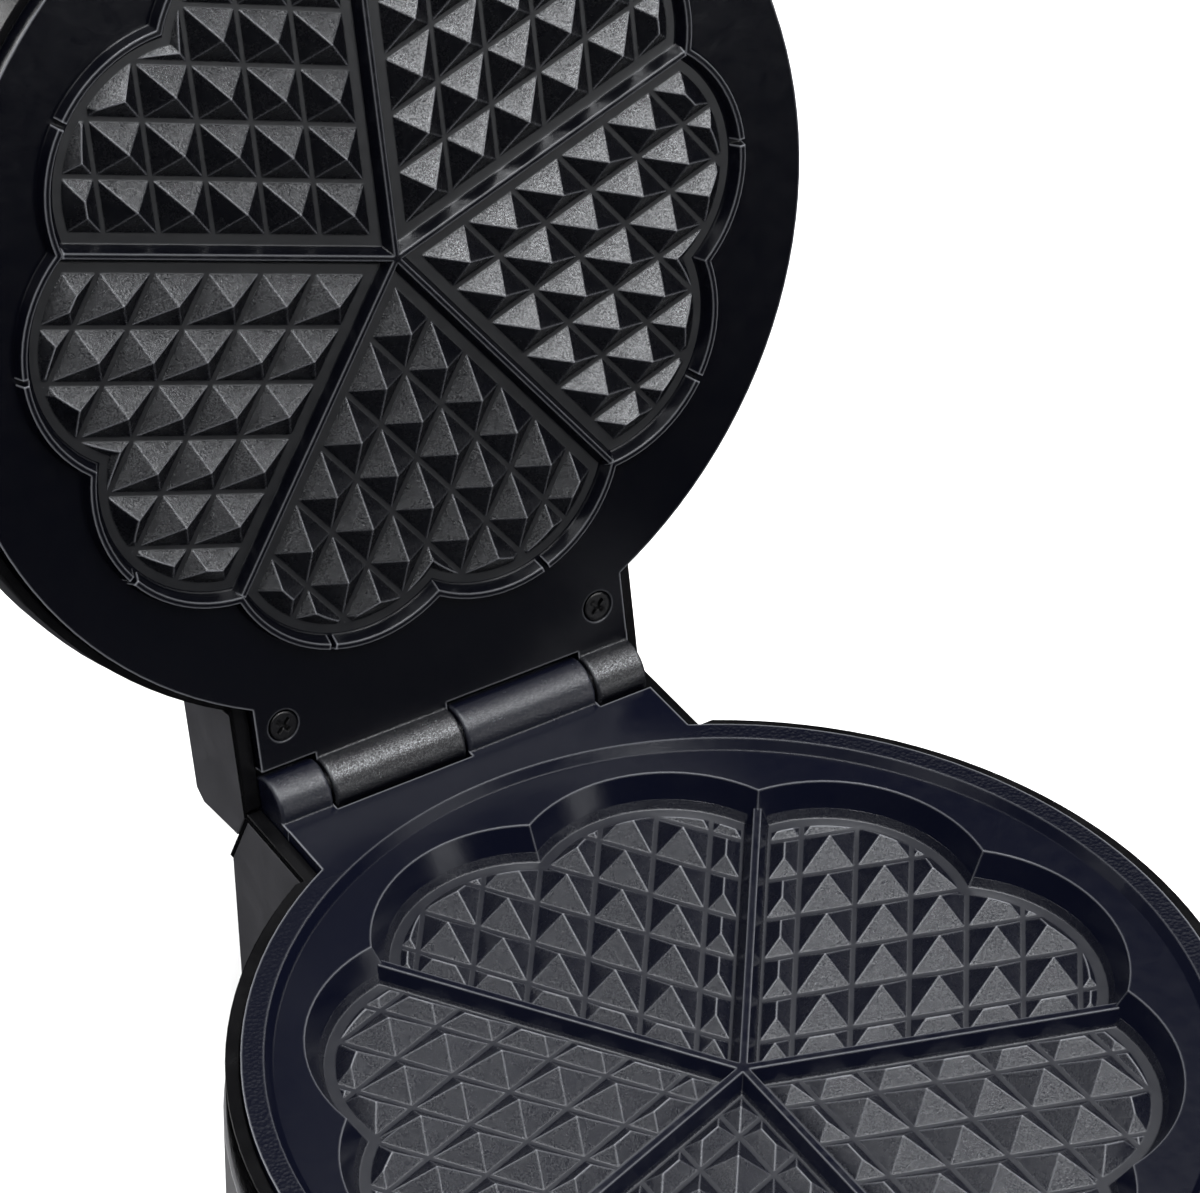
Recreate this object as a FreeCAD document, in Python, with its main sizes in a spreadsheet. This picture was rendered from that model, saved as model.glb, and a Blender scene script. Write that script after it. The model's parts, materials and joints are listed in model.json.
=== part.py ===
import FreeCAD, Part
import math
import os
import re
import Sketcher
from FreeCAD import Placement, Rotation, Vector

# Five-heart waffle maker with its lid open.
# Every shape is drawn in the closed iron: x = 0 is the middle plane, the star of the
# waffle hearts is centred at x = y = 0 and z = 0 is the plane where the plates meet.
# The hinge lies behind (+y) and the handles in front (-y).  A Placement then moves
# the base parts up onto their feet and turns the lid parts open round the hinge pin.

doc = FreeCAD.newDocument("waffle_maker")

# ---------------------------------------------------------------- driving dimensions
SIZES = (
    # overall
    ("plate_radius", 103.0),
    ("parting_height", 64.0),
    ("star_forward", 17.0),
    ("lid_angle", 102.7),
    # hinge
    ("hinge_back", 115.6),
    ("barrel_radius", 7.0),
    ("barrel_long", 33.0),
    ("barrel_short", 12.8),
    ("barrel_gap", 0.6),
    ("barrel_round", 0.8),
    ("pin_radius", 2.5),
    ("pin_play", 0.05),
    ("bore_end", 2.2),
    ("tongue_half", 46.6),
    ("tongue_back", 107.2),
    ("slab_depth", 5.5),
    # hearts
    ("lobe_centre", 55.0),
    ("cavity_lobe_top", 35.3),
    ("cavity_lobe_floor", 31.5),
    ("cavity_depth", 9.4),
    ("cavity_skin", 3.4),
    ("gutter_drop", 2.0),
    ("step_outer", 98.3),
    ("step_inner", 96.4),
    ("ring_margin", 2.5),
    ("pitch", 12.65),
    ("channel", 1.15),
    ("tip_height", 4.9),
    ("spoke_top_half", 0.8),
    ("spoke_foot_half", 2.6),
    ("spoke_rise", 3.6),
    ("spoke_strip", 0.7),
    ("upper_spoke_top_half", 0.55),
    ("upper_spoke_foot_half", 1.8),
    ("wall_rise", 2.6),
    ("wall_inner_foot", 30.0),
    ("wall_inner_top", 31.2),
    ("wall_outer_top", 32.4),
    ("wall_outer_foot", 33.1),
    ("wall_gap", 1.4),
    ("gap_start", 27.0),
    ("gap_length", 12.0),
    ("upper_slab", 5.0),
    ("lower_first_line", 10.38),
    ("upper_first_line", 3.98),
    ("lower_spoke_reach", 83.0),
    ("upper_spoke_reach", 78.4),
    ("pan_radius", 94.5),
    # trims between plates and housings
    ("trim_lip", 3.2),
    ("lid_trim_lip", 2.2),
    ("trim_top", 1.5),
    ("lid_trim_top", 4.4),
    ("strip_top", 2.5),
    ("strip_foot", 4.5),
    ("trim_skirt", 12.0),
    ("ring_end", 92.0),
    ("fit_gap", 0.3),
    ("buffer_thick", 1.2),
    ("buffer_end", 20.0),
    # housings
    ("house_radius", 106.0),
    ("house_wall", 3.0),
    ("cheek_half", 50.3),
    ("block_front", 60.0),
    ("block_foot", 6.6),
    ("stop_front", 0.9),
    ("stop_back", 9.6),
    ("stop_top", 9.2),
    ("trough_radius", 8.0),
    ("trough_wall", 1.6),
    ("lid_top", 27.0),
    ("base_bottom", 56.0),
    ("post_ring", 96.0),
    ("post_radius", 4.2),
    ("post_low", 30.0),
    ("web_thick", 2.4),
    ("cover_radius", 100.0),
    ("cover_thick", 2.5),
    ("vent_half", 1.6),
    ("vent_start", 28.0),
    ("vent_end", 54.0),
    ("ledge_radius", 92.0),
    ("ledge_thick", 3.0),
    ("panel_radius", 94.0),
    ("panel_flat", 80.0),
    ("panel_rise", 4.0),
    ("panel_thick", 1.0),
    ("band_thick", 0.8),
    ("band_top", 14.0),
    ("band_bottom", 44.0),
    ("gland_side", 30.0),
    ("gland_height", 38.0),
    ("gland_radius", 4.9),
    ("cord_radius", 3.2),
    # insides
    ("heater_radius", 58.0),
    ("heater_tube", 3.2),
    ("heater_pin", 1.6),
    ("heater_pin_length", 12.0),
    ("shield_radius", 90.0),
    ("shield_thick", 0.8),
    ("shield_room", 8.4),
    ("boss_radius", 5.0),
    ("thermostat_long", 26.0),
    ("thermostat_wide", 22.0),
    ("thermostat_high", 8.6),
    ("fuse_radius", 2.2),
    ("fuse_long", 12.0),
    ("fuse_lead", 7.0),
    ("fuse_lead_radius", 0.6),
    ("fuse_side", 41.0),
    ("fuse_back", 10.0),
    ("terminal_half", 15.0),
    ("terminal_high", 10.0),
    ("terminal_front", 60.0),
    ("terminal_back", 76.0),
    ("terminal_inset", 4.0),
    ("terminal_step", 10.0),
    ("terminal_bore", 2.2),
    # handles
    ("handle_length", 62.0),
    ("handle_half", 30.0),
    ("handle_tip_half", 20.0),
    ("handle_thick", 13.0),
    ("handle_screw_side", 22.0),
    ("lid_handle_screw_rise", 3.4),
    # knob and lamps
    ("knob_radius", 17.0),
    ("knob_height", 14.0),
    ("knob_forward", 58.0),
    ("spindle_radius", 3.0),
    ("lamp_radius", 3.6),
    ("lamp_hole", 3.75),
    ("lamp_case", 6.2),
    ("lamp_case_high", 8.8),
    ("lamp_side", 32.0),
    ("lamp_forward", 62.0),
    # feet and screws
    ("foot_radius", 9.0),
    ("foot_height", 8.0),
    ("foot_peg", 3.0),
    ("foot_peg_hole", 3.1),
    ("foot_side", 55.0),
    ("rear_foot_side", 37.0),
    ("rear_foot_back", 108.0),
    ("plate_screw_side", 40.0),
    ("plate_screw_back", 98.0),
    ("front_screw_side", 12.0),
    ("screw_head", 3.3),
    ("screw_shank", 1.9),
    ("screw_hole", 2.0),
    ("head_depth", 2.4),
)
sheet = doc.addObject("Spreadsheet::Sheet", "dims")
D = {}
for row, (alias, value) in enumerate(SIZES, start=1):
    sheet.set("A%d" % row, alias)
    sheet.set("B%d" % row, str(value))
    sheet.setAlias("B%d" % row, alias)
    D[alias] = value
doc.recompute()

SECTOR = 72.0          # one heart
LOBES = 10             # two lobes to a heart
VENTS = 12             # cooling slots in the bottom cover
FLUTES = 18            # finger grooves round the knob
EXTRA = 1.0            # how far a cutting tool overshoots a face
nodes = {}


def bind(obj, prop, text):
    """Bind a property to an expression written with the sheet's own words."""
    obj.setExpression(prop, re.sub(r"\b([a-z]\w*_\w+|pitch|channel)\b", r"dims.\1", text))


def v_axis(name):
    """Rotation that turns a part drawn along z to lie along the named axis."""
    turns = {"x": Rotation(Vector(0, 1, 0), 90), "y": Rotation(Vector(1, 0, 0), -90), "z": Rotation()}
    return turns[name]


def place(obj, x, y, z, axis="z"):
    obj.Placement = Placement(Vector(0, 0, 0), v_axis(axis))
    for letter, text in (("x", x), ("y", y), ("z", z)):
        bind(obj, "Placement.Base." + letter, text)
    return obj


def cylinder(name, radius, height, x="0", y="0", z="0", axis="z"):
    obj = doc.addObject("Part::Cylinder", name)
    bind(obj, "Radius", radius)
    bind(obj, "Height", height)
    return place(obj, x, y, z, axis)


def cone(name, low, high, height, x="0", y="0", z="0", axis="z"):
    obj = doc.addObject("Part::Cone", name)
    bind(obj, "Radius1", low)
    bind(obj, "Radius2", high)
    bind(obj, "Height", height)
    return place(obj, x, y, z, axis)


def box(name, length, width, height, x, y, z):
    obj = doc.addObject("Part::Box", name)
    bind(obj, "Length", length)
    bind(obj, "Width", width)
    bind(obj, "Height", height)
    return place(obj, x, y, z)


def fuse(name, *parts):
    obj = doc.addObject("Part::MultiFuse", name)
    obj.Shapes = list(parts)
    return obj


def cut(name, base, *tools):
    obj = doc.addObject("Part::Cut", name)
    obj.Base = base
    obj.Tool = tools[0] if len(tools) == 1 else fuse(name + "_tools", *tools)
    return obj


def made(name, shape):
    obj = doc.addObject("Part::Feature", name)
    obj.Shape = shape
    return obj


# ------------------------------------------------- sketched bodies bound to the sheet
def amount(text):
    """Value of a sum of sheet words and numbers, such as "plate_radius - 2 * fit_gap"."""
    total = 0.0
    for sign, factor, term in re.findall(r"([+-]?)\s*(?:([\d.]+)\s*\*\s*)?([\w.]+)", text):
        value = D[term] if term in D else float(term)
        total += (-1 if sign == "-" else 1) * float(factor or 1) * value
    return total


def new_body(name):
    return doc.addObject("PartDesign::Body", name)


def sketch_on(body, role, level="0"):
    sketch = body.newObject("Sketcher::SketchObject", body.Name + "_sketch")
    plane = [item for item in body.Origin.OriginFeatures if item.Role == role][0]
    sketch.AttachmentSupport = (plane, "")
    sketch.MapMode = "FlatFace"
    bind(sketch, "AttachmentOffset.Base.z", level)
    return sketch


def fix_point(sketch, edge, end, x, y):
    """Hold a point of an edge at a place given in the sheet's words."""
    for kind, text, axis in (("DistanceX", x, -2), ("DistanceY", y, -1)):
        if text == "0":
            sketch.addConstraint(Sketcher.Constraint("PointOnObject", edge, end, axis))
        else:
            held = sketch.addConstraint(Sketcher.Constraint(kind, -1, 1, edge, end, amount(text)))
            bind(sketch, "Constraints[%d]" % held, text)


def draw_polygon(sketch, corners):
    points = [Vector(amount(x), amount(y), 0) for x, y in corners]
    first = sketch.GeometryCount
    for start, end in zip(points, points[1:] + points[:1]):
        sketch.addGeometry(Part.LineSegment(start, end), False)
    count = len(points)
    for index in range(count):
        following = first + (index + 1) % count
        sketch.addConstraint(Sketcher.Constraint("Coincident", first + index, 2, following, 1))
    for index, (x, y) in enumerate(corners):
        fix_point(sketch, first + index, 1, x, y)


def draw_circle(sketch, x, y, radius):
    centre = Vector(amount(x), amount(y), 0)
    edge = sketch.addGeometry(Part.Circle(centre, Vector(0, 0, 1), amount(radius)), False)
    fix_point(sketch, edge, 3, x, y)
    held = sketch.addConstraint(Sketcher.Constraint("Radius", edge, amount(radius)))
    bind(sketch, "Constraints[%d]" % held, radius)


def swept(body, kind, sketch, length, down=False):
    """A Pad or Pocket of a sketch; down sends it against the sketch's normal."""
    feature = body.newObject("PartDesign::" + kind, body.Name + "_" + kind.lower())
    feature.Profile = sketch
    bind(feature, "Length", length)
    feature.Reversed = down
    doc.recompute()
    return feature


def turned(body, kind, sketch, angle="360"):
    """A Revolution or Groove about the sketch's upright axis."""
    feature = body.newObject("PartDesign::" + kind, body.Name + "_" + kind.lower())
    feature.Profile = sketch
    feature.ReferenceAxis = (sketch, ["V_Axis"])
    feature.Midplane = True
    bind(feature, "Angle", angle)
    doc.recompute()
    return feature


def repeated(body, feature, count):
    """Repeat a feature round the star's axis."""
    pattern = body.newObject("PartDesign::PolarPattern", body.Name + "_pattern")
    pattern.Originals = [feature]
    pattern.Axis = (feature.Profile[0], ["N_Axis"])
    pattern.Angle = 360
    pattern.Occurrences = count
    body.Tip = pattern
    doc.recompute()
    return pattern


def rounded(body, feature, radius):
    """Round every edge of a feature."""
    fillet = body.newObject("PartDesign::Fillet", body.Name + "_fillet")
    fillet.Base = (feature, ["Face1"])
    fillet.UseAllEdges = True
    fillet.Radius = radius
    doc.recompute()
    return fillet


# --------------------------------------------------------------- where the parts go
HINGE = Vector(0, D["hinge_back"], 0)
BASE = Placement(Vector(0, -D["star_forward"], D["parting_height"]), Rotation())
OPEN = Placement(Vector(0, 0, 0), Rotation(Vector(1, 0, 0), -D["lid_angle"]), HINGE)
LID = BASE.multiply(OPEN)


def node(name, obj, where):
    """Label a finished piece, and carry it from the closed iron to its place."""
    obj.Label = name
    obj.Placement = where.multiply(obj.Placement)
    nodes[name] = obj
    return obj


# ------------------------------------------------------------------- plate outlines
def polar(radius, degrees, z=0.0):
    """A point at an angle from the hinge direction, positive towards +x."""
    turn = math.radians(degrees)
    return Vector(radius * math.sin(turn), radius * math.cos(turn), z)


def outline(grow, back):
    """Round plate with its tongue towards the hinge, grown outwards by a lip."""
    radius = D["plate_radius"] + grow
    half = D["tongue_half"] + grow
    meet = math.sqrt(radius * radius - half * half)
    right = Vector(half, meet, 0)
    left = Vector(-half, meet, 0)
    edges = (
        Part.Arc(left, Vector(0, -radius, 0), right).toShape(),
        Part.makeLine(right, Vector(half, back, 0)),
        Part.makeLine(Vector(half, back, 0), Vector(-half, back, 0)),
        Part.makeLine(Vector(-half, back, 0), left),
    )
    return Part.Face(Part.Wire(edges))


def slab(grow, back, low, high):
    face = outline(grow, back)
    face.translate(Vector(0, 0, low))
    return face.extrude(Vector(0, 0, high - low))


def lobed(radius_low, radius_high, low, high):
    """Ten lobes, their sides drafted, round a middle disc."""
    middle = Part.makeCylinder(D["lobe_centre"], high - low, Vector(0, 0, low))
    lobes = []
    for index in range(LOBES):
        centre = polar(D["lobe_centre"], 18.0 + 36.0 * index, low)
        if abs(radius_low - radius_high) < 1e-6:
            lobes.append(Part.makeCylinder(radius_low, high - low, centre))
        else:
            lobes.append(Part.makeCone(radius_low, radius_high, high - low, centre))
    return middle.multiFuse(lobes).removeSplitter()


def ridge_bar(direction, start, length, foot_half, top_half, floor, rise, sink):
    """A bar with sloping sides and a flat or sharp top, standing on a floor."""
    along = polar(1.0, direction)
    across = Vector(along.y, -along.x, 0)
    up = Vector(0, 0, 1 if rise > 0 else -1)
    origin = along * start
    origin.z = floor
    points = [across * foot_half - up * sink, across * foot_half]
    if top_half > 0:
        points += [across * top_half + up * abs(rise), across * -top_half + up * abs(rise)]
    else:
        points += [up * abs(rise)]
    points += [across * -foot_half, across * -foot_half - up * sink]
    corners = [origin + point for point in points]
    wire = Part.makePolygon(corners + corners[:1])
    return Part.Face(wire).extrude(along * length)


def star(floor, rise, foot_half, top_half, reach):
    """The five spokes between the hearts."""
    bars = [
        ridge_bar(36.0 + SECTOR * index, 0.0, reach, foot_half, top_half, floor, rise, EXTRA)
        for index in range(5)
    ]
    return bars[0].multiFuse(bars[1:])


def roof_rows(spoke_angle, inward, bands, floor, up):
    """Long gables beside one spoke, one for each row of pyramids."""
    slope = D["tip_height"] / ((D["pitch"] * math.sin(math.radians(SECTOR)) - D["channel"]) / 2)
    across = polar(1.0, spoke_angle + 90.0 * inward)
    rows = []
    for near, far in bands:
        half = (far - near) / 2
        bar = ridge_bar(spoke_angle, -10.0, 110.0, half, 0.0, floor, up * half * slope, EXTRA)
        bar.translate(across * (near + half))
        rows.append(bar)
    return Part.makeCompound(rows)


def heart(first_line, first_edge, floor, up, lobe_radius):
    """The pyramids of the heart that faces the hinge, cut to a roof along its border."""
    rise = math.sin(math.radians(SECTOR))
    half_channel = D["channel"] / 2
    lines = [first_line * rise + count * D["pitch"] * rise for count in range(8)]
    bands = [(near + half_channel, far - half_channel) for near, far in zip(lines, lines[1:])]
    if first_edge < lines[0] - half_channel:
        bands.insert(0, (first_edge, lines[0] - half_channel))
    field = roof_rows(-36.0, 1, bands, floor, up).common(roof_rows(36.0, -1, bands, floor, up))
    slope = D["tip_height"] / ((D["pitch"] * rise - D["channel"]) / 2)
    tall = D["tip_height"] + EXTRA
    direction = Vector(0, 0, up)
    regions = []
    for side in (-18.0, 18.0):
        centre = polar(D["lobe_centre"], side, floor)
        regions.append(Part.makeCone(lobe_radius, lobe_radius - tall / slope, tall, centre, direction))
        regions.append(Part.makeCylinder(lobe_radius, EXTRA, centre, -direction))
    low = floor - EXTRA if up > 0 else floor - tall
    corners = [Vector(0, 0, low)]
    corners += [polar(D["lobe_centre"], angle, low) for angle in (-36.0, -18.0, 18.0, 36.0)]
    inner = Part.Face(Part.makePolygon(corners + corners[:1])).extrude(Vector(0, 0, tall + EXTRA))
    region = regions[0].multiFuse(regions[1:] + [inner])
    return field.common(region)


def hearts(first_line, first_edge, floor, up, lobe_radius):
    one = heart(first_line, first_edge, floor, up, lobe_radius)
    solids = []
    for index in range(5):
        copy = one.copy()
        copy.rotate(Vector(0, 0, 0), Vector(0, 0, 1), SECTOR * index)
        solids += copy.Solids
    return solids


# --------------------------------------------------------------------------- hinge
def barrel_spans():
    """The four barrels from -x to +x: the base plate owns the first and third."""
    gap = D["barrel_gap"] / 2
    inner = D["barrel_long"] + gap
    outer = inner + D["barrel_gap"] + D["barrel_short"]
    return ((-outer, -inner - 2 * gap), (-inner, -gap), (gap, inner), (inner + 2 * gap, outer))


def barrels(spans, plate_low, plate_high):
    """Barrels round the hinge line, with a tongue of plate thickness to each."""
    solids = []
    for start, end in spans:
        at = Vector(start, D["hinge_back"], 0)
        barrel = Part.makeCylinder(D["barrel_radius"], end - start, at, Vector(1, 0, 0))
        rims = [edge for edge in barrel.Edges if edge.isClosed() and isinstance(edge.Curve, Part.Circle)]
        solids.append(barrel.makeFillet(D["barrel_round"], rims))
        back = D["tongue_back"] - EXTRA
        corner = Vector(start, back, plate_low)
        solids.append(Part.makeBox(end - start, D["hinge_back"] - back, plate_high - plate_low, corner))
    return solids


def pin_bore(spans):
    """The bore stops short of the first barrel's outer end, which hides the pin."""
    radius = D["pin_radius"] + D["pin_play"]
    start = Vector(spans[0][0] + D["bore_end"], D["hinge_back"], 0)
    return Part.makeCylinder(radius, spans[-1][1] - spans[0][0], start, Vector(1, 0, 0))


spans = barrel_spans()
bore = pin_bore(spans)

# Where screws go: up into the lower plate, and down through the upper plate into the lid.
POST_ANGLES = (45.0, 135.0, 225.0, 315.0)
LID_SCREWS = [Vector(side * D["plate_screw_side"], D["plate_screw_back"], 0) for side in (-1, 1)]
LID_SCREWS += [Vector(side * D["front_screw_side"], -D["plate_screw_back"], 0) for side in (-1, 1)]

# --------------------------------------------------------------------- lower plate
pan_bottom = -D["cavity_depth"] - D["cavity_skin"]
lower = slab(0.0, D["tongue_back"], -D["slab_depth"], 0.0)
pan = Part.makeCylinder(D["pan_radius"], -D["slab_depth"] - pan_bottom + EXTRA, Vector(0, 0, pan_bottom))
boss_foot = Vector(0, 0, pan_bottom - D["shield_room"])
bosses = [Part.makeCylinder(D["boss_radius"], D["shield_room"], boss_foot)]
threads = [Part.makeCylinder(D["screw_hole"], D["shield_room"], boss_foot)]
for angle in POST_ANGLES:
    foot = polar(D["post_ring"], angle, pan_bottom)
    bosses.append(Part.makeCylinder(D["post_radius"], -D["slab_depth"] - pan_bottom + EXTRA, foot))
    threads.append(Part.makeCylinder(D["screw_hole"], -D["slab_depth"] - pan_bottom, foot))
lower = lower.multiFuse([pan] + bosses + barrels((spans[0], spans[2]), -D["slab_depth"], 0.0))
step = Part.makeCone(D["step_inner"], D["step_outer"], D["gutter_drop"], Vector(0, 0, -D["gutter_drop"]))
step = step.fuse(Part.makeCylinder(D["step_outer"], EXTRA))
hollow = lobed(D["cavity_lobe_floor"], D["cavity_lobe_top"], -D["cavity_depth"], -D["gutter_drop"])
lower = lower.cut(step).cut(hollow).cut(bore).cut(Part.makeCompound(threads))
lower_first_edge = D["spoke_foot_half"] + D["spoke_strip"]
lower_star = star(
    -D["cavity_depth"], D["spoke_rise"], D["spoke_foot_half"], D["spoke_top_half"], D["lower_spoke_reach"]
)
lower_cells = hearts(
    D["lower_first_line"], lower_first_edge, -D["cavity_depth"], 1, D["cavity_lobe_floor"] - D["ring_margin"]
)
lower = lower.multiFuse([lower_star] + lower_cells).removeSplitter()
node("lower_plate", made("lower_plate", lower), BASE)

# --------------------------------------------------------------------- upper plate
centre_boss = Part.makeCylinder(D["boss_radius"], D["shield_room"], Vector(0, 0, D["upper_slab"]))
centre_thread = Part.makeCylinder(D["screw_hole"], D["shield_room"], Vector(0, 0, D["upper_slab"]))
upper = slab(0.0, D["tongue_back"], 0.0, D["upper_slab"])
upper = upper.multiFuse([centre_boss] + barrels((spans[1], spans[3]), 0.0, D["upper_slab"]))
wall = lobed(D["wall_outer_top"], D["wall_outer_foot"], -D["wall_rise"], 0.0)
wall = wall.cut(lobed(D["wall_inner_top"], D["wall_inner_foot"], -D["wall_rise"], 0.0))
gaps = []
for index in range(LOBES):
    gap_bar = Part.makeBox(D["wall_gap"], D["gap_length"], D["wall_rise"] + EXTRA)
    gap_bar.translate(Vector(-D["wall_gap"] / 2, D["lobe_centre"] + D["gap_start"], -D["wall_rise"] - EXTRA))
    gap_bar.rotate(Vector(0, 0, 0), Vector(0, 0, 1), -18.0 - 36.0 * index)
    gaps.append(gap_bar)
wall = wall.cut(Part.makeCompound(gaps))
upper_star = star(
    0.0, -D["wall_rise"], D["upper_spoke_foot_half"], D["upper_spoke_top_half"], D["upper_spoke_reach"]
)
upper_cells = hearts(D["upper_first_line"], math.inf, 0.0, -1, D["wall_inner_foot"] - D["ring_margin"])
upper = upper.multiFuse([wall, upper_star] + upper_cells).cut(bore).cut(centre_thread)
for spot in LID_SCREWS:
    sink = Part.makeCone(D["screw_head"] + 0.5, D["screw_hole"], D["head_depth"], spot)
    hole = Part.makeCylinder(D["screw_hole"], 2 * D["upper_slab"], spot - Vector(0, 0, EXTRA))
    upper = upper.cut(hole).cut(sink)
node("upper_plate", made("upper_plate", upper), LID)

# ------------------------------------------------------------- the hinge's side outlines
def side_prism(points, low_x, high_x):
    """A prism along x from an outline in the y-z plane, with y measured from the hinge."""
    corners = [Vector(low_x, D["hinge_back"] + y, z) for y, z in points]
    return Part.Face(Part.makePolygon(corners + corners[:1])).extrude(Vector(high_x - low_x, 0, 0))


def opened(point):
    """Where a lid point (y, z), measured from the hinge, lies once the lid stands open."""
    turn = math.radians(D["lid_angle"])
    y = point[0] * math.cos(turn) + point[1] * math.sin(turn)
    z = -point[0] * math.sin(turn) + point[1] * math.cos(turn)
    return y, z


def stop_face(depth, height):
    """Point of the base at a height, lying that far in from the stop face of the open lid."""
    first = opened(STOP[0])
    last = opened(STOP[1])
    run = math.hypot(last[0] - first[0], last[1] - first[1])
    ahead = ((last[0] - first[0]) / run, (last[1] - first[1]) / run)
    start = (first[0] + ahead[1] * depth, first[1] - ahead[0] * depth)
    return start[0] + ahead[0] * (height - start[1]) / ahead[1], height


def lid_face(height):
    """Point of the lid's stop face at a height over the parting plane."""
    slope = (D["stop_back"] - D["stop_front"]) / (D["stop_top"] - D["strip_top"])
    return D["stop_front"] + slope * (height - D["strip_top"]), height


def hinge_bar(radius):
    reach = D["cheek_half"] - D["house_wall"]
    return Part.makeCylinder(radius, 2 * reach, Vector(-reach, D["hinge_back"], 0), Vector(1, 0, 0))


def revolved(points):
    """A solid of revolution about the star's axis from (radius, height) corners."""
    corners = [Vector(radius, 0, height) for radius, height in points]
    face = Part.Face(Part.makePolygon(corners + corners[:1]))
    return face.revolve(Vector(0, 0, 0), Vector(0, 0, 1), 360)


STOP = ((D["stop_front"], D["strip_top"]), (D["stop_back"], D["stop_top"]))
FRONT = D["block_front"] - D["hinge_back"]
INSIDE = D["cheek_half"] - D["house_wall"]
DEPTH = D["fit_gap"] + D["buffer_thick"]
FLOOR = -D["base_bottom"]

# ---------------------------------------------------------------------------- trims
def trim_ring(lip, low, high):
    """Black ring round the round part of a plate, open towards the hinge."""
    ring = slab(lip, D["hinge_back"], low, high)
    ring = ring.common(Part.makeBox(300.0, 200.0 + D["ring_end"], 60.0, Vector(-150.0, -200.0, -30.0)))
    return ring.cut(plate_room)


def strips(profile):
    """The trim beside the tongue, on both sides."""
    inner = D["tongue_half"] + D["fit_gap"]
    right = side_prism(profile, inner, D["cheek_half"])
    left = side_prism(profile, -D["cheek_half"], -inner)
    return [right.cut(plate_room), left.cut(plate_room)]


plate_room = slab(D["fit_gap"], D["hinge_back"] + 40.0, -40.0, 40.0)
strip_front = D["ring_end"] - D["hinge_back"] - 8.0
lower_strip = (
    (strip_front, -D["strip_foot"]), (strip_front, -D["strip_top"]),
    stop_face(D["fit_gap"], -D["strip_top"]), stop_face(D["fit_gap"], -D["strip_foot"]),
)
buffer = (
    stop_face(D["fit_gap"], -D["strip_foot"]), stop_face(D["fit_gap"], -D["buffer_end"]),
    stop_face(DEPTH, -D["buffer_end"]), stop_face(DEPTH, -D["strip_foot"]),
)
lower_trim = trim_ring(D["trim_lip"], -D["trim_skirt"], -D["trim_top"])
lower_trim = lower_trim.multiFuse(strips(lower_strip) + strips(buffer))
node("lower_trim", made("lower_trim", lower_trim), BASE)

upper_strip = (
    (strip_front, D["strip_foot"]), (strip_front, D["strip_top"]),
    lid_face(D["strip_top"]), lid_face(D["strip_foot"]),
)
upper_trim = trim_ring(D["lid_trim_lip"], D["lid_trim_top"], D["trim_skirt"])
node("upper_trim", made("upper_trim", upper_trim.multiFuse(strips(upper_strip))), LID)

# --------------------------------------------------------------------- base housing
rim = D["house_radius"]
wall_inside = rim - D["house_wall"]
cover_top = -D["base_bottom"] + D["cover_thick"]
drum = revolved((
    (0, -D["trim_skirt"]), (rim, -D["trim_skirt"]), (rim, -D["base_bottom"] + 8.0),
    (rim - 3.5, -D["base_bottom"]), (0, -D["base_bottom"]),
))
drum_room = revolved((
    (0, 0), (wall_inside, 0), (wall_inside, cover_top + D["ledge_thick"] + 2.0),
    (wall_inside - 2.0, cover_top + D["ledge_thick"]), (D["ledge_radius"], cover_top + D["ledge_thick"]),
    (D["ledge_radius"], cover_top), (D["cover_radius"] + D["fit_gap"], cover_top),
    (D["cover_radius"] + D["fit_gap"], -D["base_bottom"] - EXTRA), (0, -D["base_bottom"] - EXTRA),
))
base_block = side_prism((
    (FRONT, -D["strip_foot"]), stop_face(DEPTH, -D["strip_foot"]), stop_face(DEPTH, -D["buffer_end"]),
    (D["block_foot"], FLOOR), (FRONT, FLOOR),
), -D["cheek_half"], D["cheek_half"])
base_block_room = side_prism((
    (FRONT - EXTRA, EXTRA), (0.0, EXTRA), stop_face(DEPTH + D["house_wall"], -D["buffer_end"]),
    (D["block_foot"] - D["house_wall"], FLOOR + D["house_wall"]), (FRONT - EXTRA, FLOOR + D["house_wall"]),
), -INSIDE, INSIDE)
ring_room = Part.makeCylinder(rim + D["fit_gap"], 2 * D["trim_skirt"], Vector(0, 0, -D["trim_skirt"]))
trough = hinge_bar(D["trough_radius"])
tongue_room = slab(D["fit_gap"], D["hinge_back"], -D["slab_depth"] - D["fit_gap"], D["upper_slab"])
trough_wall = hinge_bar(D["trough_radius"] + D["trough_wall"])
base = drum.fuse(base_block.cut(ring_room)).cut(drum_room)
base = base.cut(base_block_room.cut(trough_wall)).cut(trough).cut(tongue_room)

posts = []
screw_ways = []
for angle in POST_ANGLES:
    foot = polar(D["post_ring"], angle, -D["post_low"])
    tall = D["post_low"] + pan_bottom
    web_corner = Vector(-D["web_thick"] / 2, D["post_ring"], -D["post_low"])
    web = Part.makeBox(D["web_thick"], wall_inside + EXTRA - D["post_ring"], tall, web_corner)
    web.rotate(Vector(0, 0, 0), Vector(0, 0, 1), -angle)
    posts += [Part.makeCylinder(D["post_radius"], tall, foot), web]
    screw_ways.append(Part.makeCylinder(D["screw_hole"], 2 * tall, foot - Vector(0, 0, EXTRA)))
    access = polar(D["post_ring"], angle, cover_top - EXTRA)
    screw_ways.append(Part.makeCylinder(D["screw_head"] + D["fit_gap"], 8.0, access))
COVER_ANGLES = (60.0, 120.0, 240.0, 300.0)
for angle in COVER_ANGLES:
    foot = polar(D["post_ring"], angle, cover_top)
    posts.append(Part.makeCylinder(D["post_radius"], 10.0, foot))
    screw_ways.append(Part.makeCylinder(D["screw_hole"], 9.0, foot))
base = base.multiFuse(posts).cut(Part.makeCompound(screw_ways))


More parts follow.
